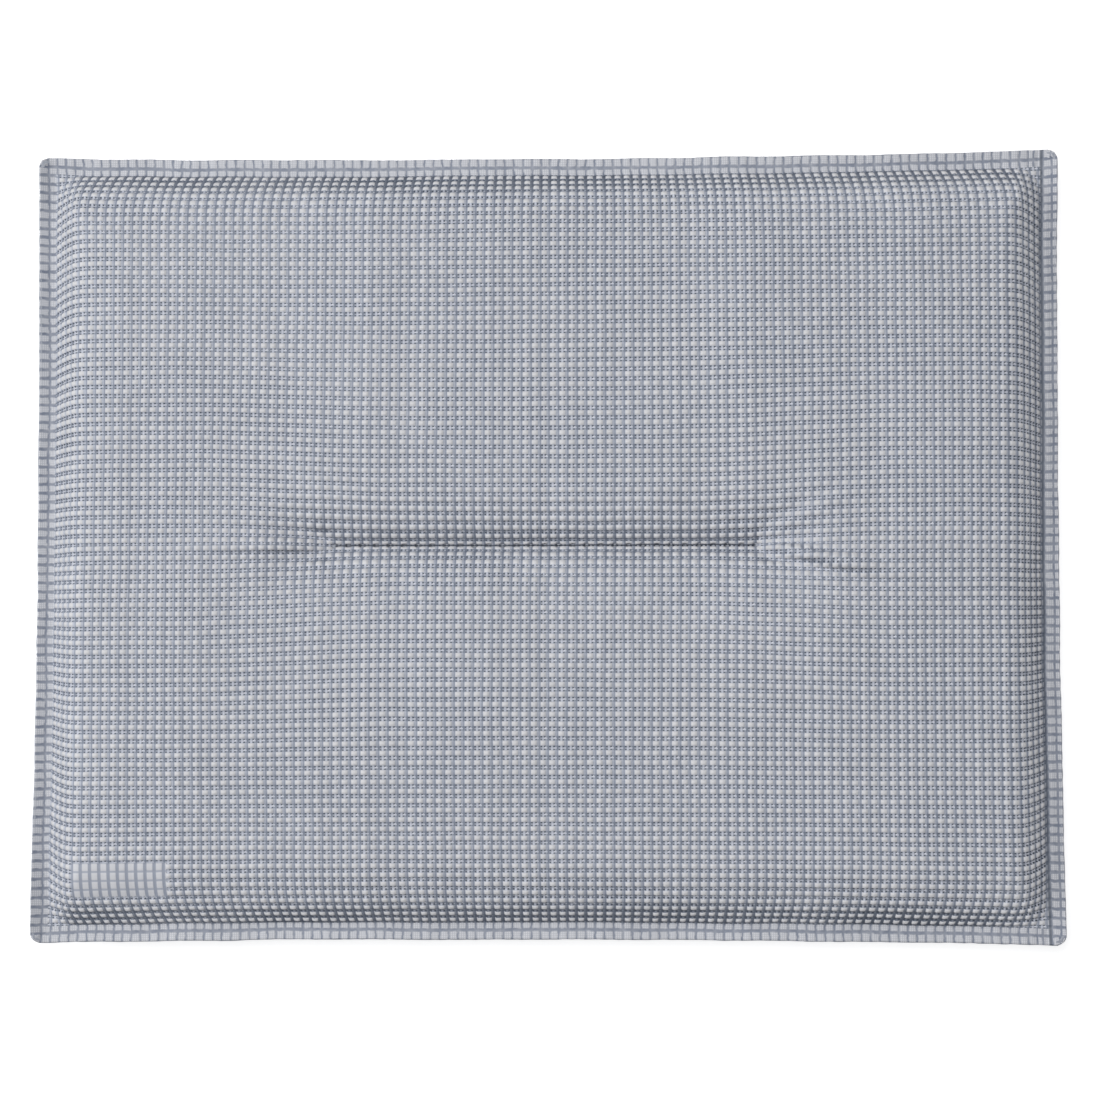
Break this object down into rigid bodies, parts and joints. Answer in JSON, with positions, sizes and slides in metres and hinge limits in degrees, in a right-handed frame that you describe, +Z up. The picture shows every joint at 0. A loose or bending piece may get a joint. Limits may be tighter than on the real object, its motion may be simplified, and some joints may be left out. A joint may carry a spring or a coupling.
{
  "type": "kneeling pad",
  "caption": "Flat rectangular outdoor kneeling pad: coated mesh panels welded round a foam slab, with a flat flange all round and a sewn row through the middle.",
  "frame": {"origin": "middle of the flat face that the pad lies on, at ground level", "axes": "+X along the long side, +Y along the short side towards the back, +Z up out of the top face"},
  "size_m": [0.38, 0.293, 0.03],
  "materials": {
    "mesh_cloth": "coated woven mesh, satin",
    "foam": "open-cell foam, matt",
    "fused_edge": "melted cloth coating, satin",
    "thread": "polyester sewing thread"
  },
  "bodies": {
    "root": {"top_cover": "mesh_cloth", "bottom_cover": "mesh_cloth", "foam_core": "foam", "edge_weld": "fused_edge", "needle_thread": "thread", "bobbin_thread": "thread"}
  },
  "joints": []
}
